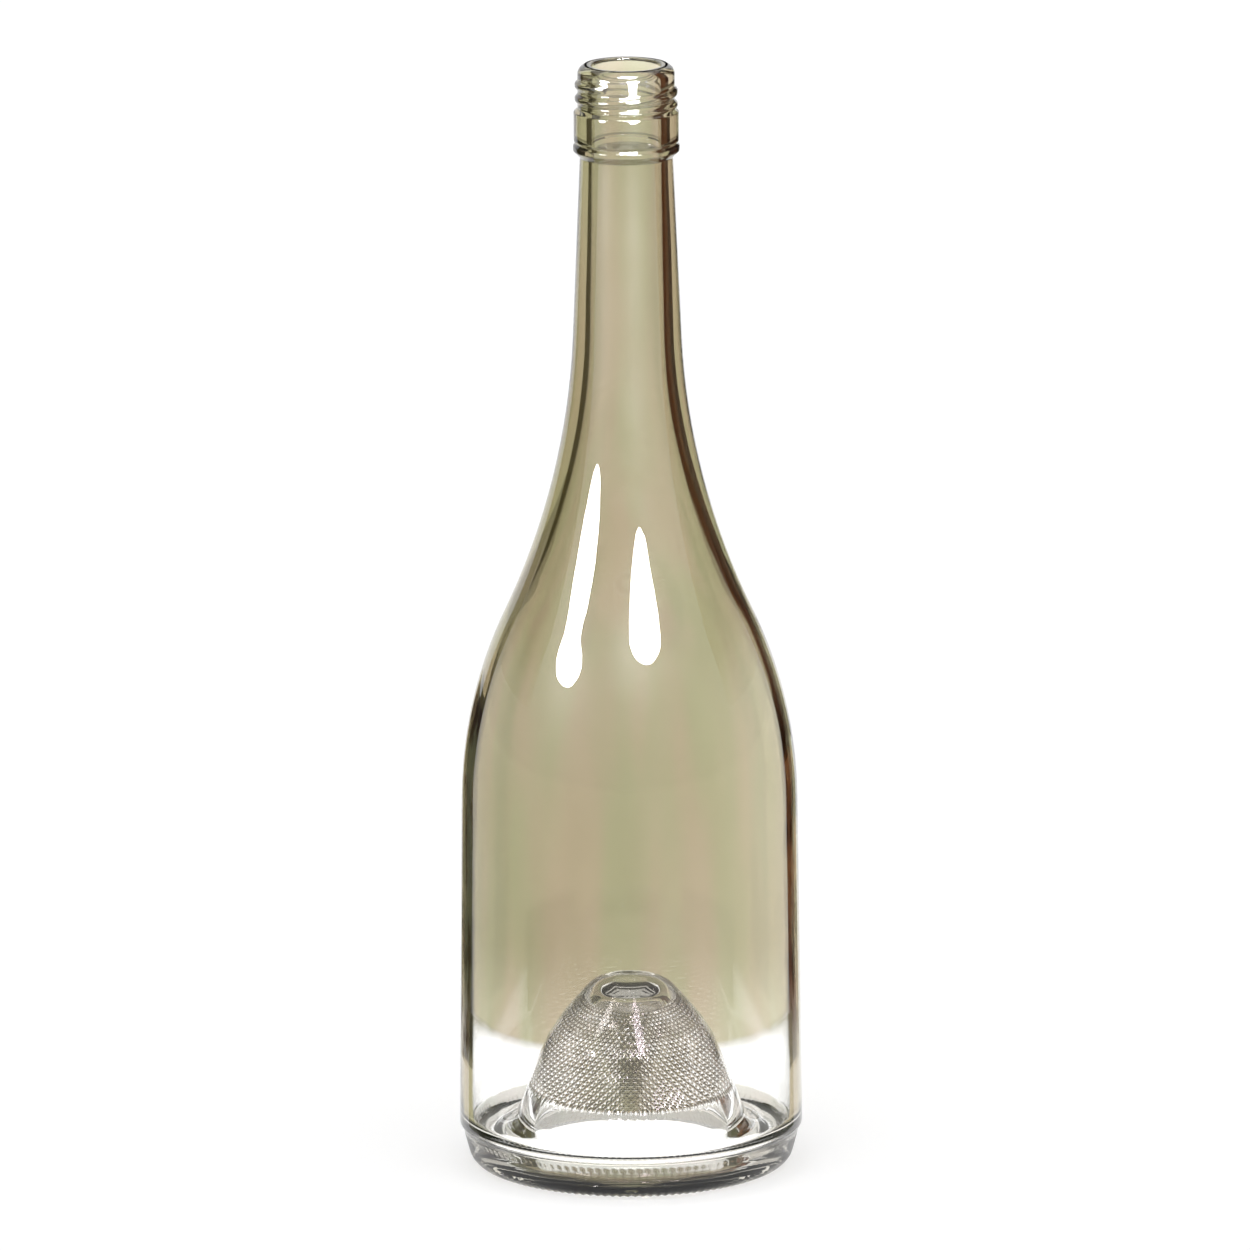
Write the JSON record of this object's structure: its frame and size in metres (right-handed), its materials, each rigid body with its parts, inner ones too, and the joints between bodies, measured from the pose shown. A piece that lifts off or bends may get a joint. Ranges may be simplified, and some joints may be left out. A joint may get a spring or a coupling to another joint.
{
  "type": "wine bottle",
  "caption": "Empty burgundy-shaped clear glass wine bottle with long sloping shoulders, a screw-cap neck finish and a deep bell-shaped punt in its base.",
  "frame": {"origin": "centre of the bearing ring that the bottle stands on", "axes": "+Z along the bottle's axis, from the base to the mouth; the bottle is round, so X and Y are free"},
  "size_m": [0.0924, 0.0924, 0.3],
  "materials": {
    "clear_glass": "smooth, glossy, clear with a faint olive tone"
  },
  "bodies": {
    "root": {"lip": "clear_glass", "retention_band": "clear_glass", "neck": "clear_glass", "shoulder": "clear_glass", "body_wall": "clear_glass", "heel": "clear_glass", "punt": "clear_glass"}
  },
  "joints": []
}
